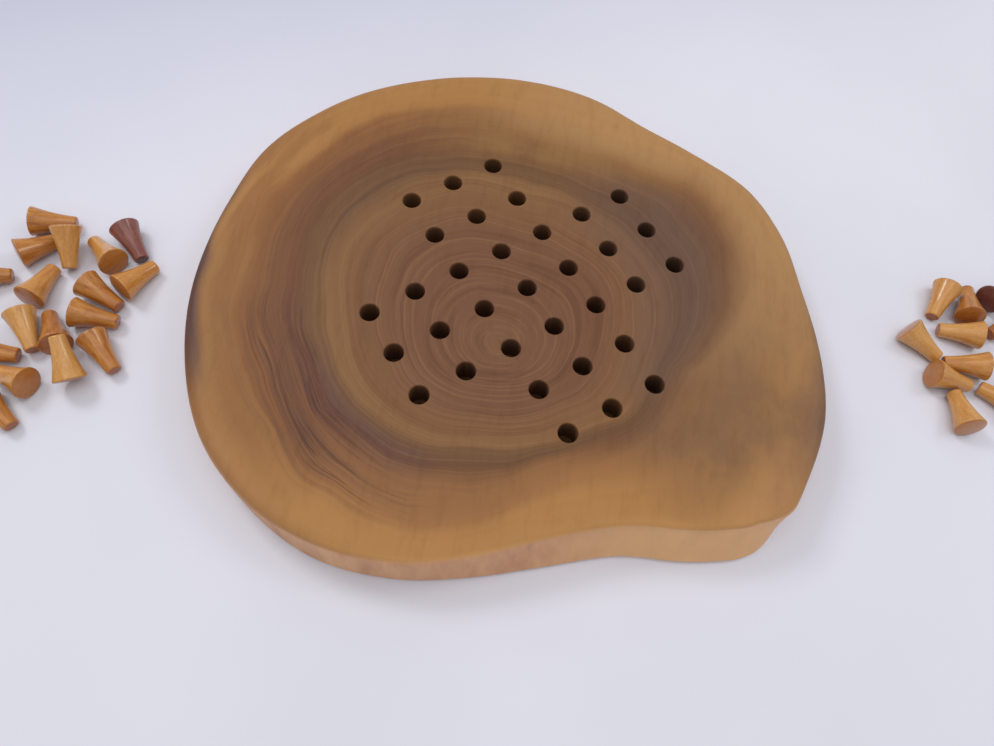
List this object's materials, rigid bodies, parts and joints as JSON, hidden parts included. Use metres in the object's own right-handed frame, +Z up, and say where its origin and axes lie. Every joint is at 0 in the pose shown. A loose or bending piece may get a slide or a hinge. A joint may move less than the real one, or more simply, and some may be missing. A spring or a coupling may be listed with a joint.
{
  "type": "peg solitaire board",
  "caption": "Live-edge wooden peg solitaire board with a cross of drilled holes and its loose flared pegs, lying in two heaps beside it.",
  "frame": {"origin": "on the underside of the slab, where it lies on the table, straight below the centre hole", "axes": "+Z up out of the holes, +Y away from the player, +X to the player's right, along the line of the two heaps"},
  "size_m": [0.5244, 0.2441, 0.0221],
  "materials": {
    "slab_wood": "satin",
    "peg_wood": "gloss",
    "dark_peg_wood": "gloss"
  },
  "bodies": {
    "slab": {"board": "slab_wood"},
    "peg_01_body": {"peg_01": "peg_wood"},
    "peg_02_body": {"peg_02": "peg_wood"},
    "peg_03_body": {"peg_03": "peg_wood"},
    "peg_04_body": {"peg_04": "peg_wood"},
    "peg_05_body": {"peg_05": "peg_wood"},
    "peg_06_body": {"peg_06": "peg_wood"},
    "peg_07_body": {"peg_07": "peg_wood"},
    "peg_08_body": {"peg_08": "peg_wood"},
    "peg_09_body": {"peg_09": "peg_wood"},
    "peg_10_body": {"peg_10": "peg_wood"},
    "peg_11_body": {"peg_11": "peg_wood"},
    "peg_12_body": {"peg_12": "peg_wood"},
    "peg_13_body": {"peg_13": "dark_peg_wood"},
    "peg_14_body": {"peg_14": "peg_wood"},
    "peg_15_body": {"peg_15": "peg_wood"},
    "peg_16_body": {"peg_16": "peg_wood"},
    "peg_17_body": {"peg_17": "peg_wood"},
    "peg_18_body": {"peg_18": "peg_wood"},
    "peg_19_body": {"peg_19": "peg_wood"},
    "peg_20_body": {"peg_20": "peg_wood"},
    "peg_21_body": {"peg_21": "peg_wood"},
    "peg_22_body": {"peg_22": "dark_peg_wood"},
    "peg_23_body": {"peg_23": "peg_wood"},
    "peg_24_body": {"peg_24": "peg_wood"},
    "peg_25_body": {"peg_25": "peg_wood"},
    "peg_26_body": {"peg_26": "peg_wood"},
    "peg_27_body": {"peg_27": "peg_wood"},
    "peg_28_body": {"peg_28": "peg_wood"},
    "peg_29_body": {"peg_29": "peg_wood"},
    "peg_30_body": {"peg_30": "peg_wood"},
    "peg_31_body": {"peg_31": "peg_wood"},
    "peg_32_body": {"peg_32": "peg_wood"}
  },
  "joints": [
    {"name": "peg_01_lift", "type": "slide", "parent": "slab", "child": "peg_01_body", "axis": [0, 0, 1], "range_m": [0, 0.06]},
    {"name": "peg_02_lift", "type": "slide", "parent": "peg_01_body", "child": "peg_02_body", "axis": [0, 0, 1], "range_m": [0, 0.06]},
    {"name": "peg_03_lift", "type": "slide", "parent": "slab", "child": "peg_03_body", "axis": [0, 0, 1], "range_m": [0, 0.06]},
    {"name": "peg_04_lift", "type": "slide", "parent": "slab", "child": "peg_04_body", "axis": [0, 0, 1], "range_m": [0, 0.06]},
    {"name": "peg_05_lift", "type": "slide", "parent": "slab", "child": "peg_05_body", "axis": [0, 0, 1], "range_m": [0, 0.06]},
    {"name": "peg_06_lift", "type": "slide", "parent": "slab", "child": "peg_06_body", "axis": [0, 0, 1], "range_m": [0, 0.06]},
    {"name": "peg_07_lift", "type": "slide", "parent": "peg_06_body", "child": "peg_07_body", "axis": [0, 0, 1], "range_m": [0, 0.06]},
    {"name": "peg_08_lift", "type": "slide", "parent": "slab", "child": "peg_08_body", "axis": [0, 0, 1], "range_m": [0, 0.06]},
    {"name": "peg_09_lift", "type": "slide", "parent": "slab", "child": "peg_09_body", "axis": [0, 0, 1], "range_m": [0, 0.06]},
    {"name": "peg_10_lift", "type": "slide", "parent": "slab", "child": "peg_10_body", "axis": [0, 0, 1], "range_m": [0, 0.06]},
    {"name": "peg_11_lift", "type": "slide", "parent": "slab", "child": "peg_11_body", "axis": [0, 0, 1], "range_m": [0, 0.06]},
    {"name": "peg_12_lift", "type": "slide", "parent": "slab", "child": "peg_12_body", "axis": [0, 0, 1], "range_m": [0, 0.06]},
    {"name": "peg_13_lift", "type": "slide", "parent": "slab", "child": "peg_13_body", "axis": [0, 0, 1], "range_m": [0, 0.06]},
    {"name": "peg_14_lift", "type": "slide", "parent": "slab", "child": "peg_14_body", "axis": [0, 0, 1], "range_m": [0, 0.06]},
    {"name": "peg_15_lift", "type": "slide", "parent": "slab", "child": "peg_15_body", "axis": [0, 0, 1], "range_m": [0, 0.06]},
    {"name": "peg_16_lift", "type": "slide", "parent": "slab", "child": "peg_16_body", "axis": [0, 0, 1], "range_m": [0, 0.06]},
    {"name": "peg_17_lift", "type": "slide", "parent": "slab", "child": "peg_17_body", "axis": [0, 0, 1], "range_m": [0, 0.06]},
    {"name": "peg_18_lift", "type": "slide", "parent": "slab", "child": "peg_18_body", "axis": [0, 0, 1], "range_m": [0, 0.06]},
    {"name": "peg_19_lift", "type": "slide", "parent": "slab", "child": "peg_19_body", "axis": [0, 0, 1], "range_m": [0, 0.06]},
    {"name": "peg_20_lift", "type": "slide", "parent": "slab", "child": "peg_20_body", "axis": [0, 0, 1], "range_m": [0, 0.06]},
    {"name": "peg_21_lift", "type": "slide", "parent": "slab", "child": "peg_21_body", "axis": [0, 0, 1], "range_m": [0, 0.06]},
    {"name": "peg_22_lift", "type": "slide", "parent": "slab", "child": "peg_22_body", "axis": [0, 0, 1], "range_m": [0, 0.06]},
    {"name": "peg_23_lift", "type": "slide", "parent": "slab", "child": "peg_23_body", "axis": [0, 0, 1], "range_m": [0, 0.06]},
    {"name": "peg_24_lift", "type": "slide", "parent": "slab", "child": "peg_24_body", "axis": [0, 0, 1], "range_m": [0, 0.06]},
    {"name": "peg_25_lift", "type": "slide", "parent": "slab", "child": "peg_25_body", "axis": [0, 0, 1], "range_m": [0, 0.06]},
    {"name": "peg_26_lift", "type": "slide", "parent": "slab", "child": "peg_26_body", "axis": [0, 0, 1], "range_m": [0, 0.06]},
    {"name": "peg_27_lift", "type": "slide", "parent": "slab", "child": "peg_27_body", "axis": [0, 0, 1], "range_m": [0, 0.06]},
    {"name": "peg_28_lift", "type": "slide", "parent": "slab", "child": "peg_28_body", "axis": [0, 0, 1], "range_m": [0, 0.06]},
    {"name": "peg_29_lift", "type": "slide", "parent": "slab", "child": "peg_29_body", "axis": [0, 0, 1], "range_m": [0, 0.06]},
    {"name": "peg_30_lift", "type": "slide", "parent": "slab", "child": "peg_30_body", "axis": [0, 0, 1], "range_m": [0, 0.06]},
    {"name": "peg_31_lift", "type": "slide", "parent": "slab", "child": "peg_31_body", "axis": [0, 0, 1], "range_m": [0, 0.06]},
    {"name": "peg_32_lift", "type": "slide", "parent": "slab", "child": "peg_32_body", "axis": [0, 0, 1], "range_m": [0, 0.06]}
  ]
}
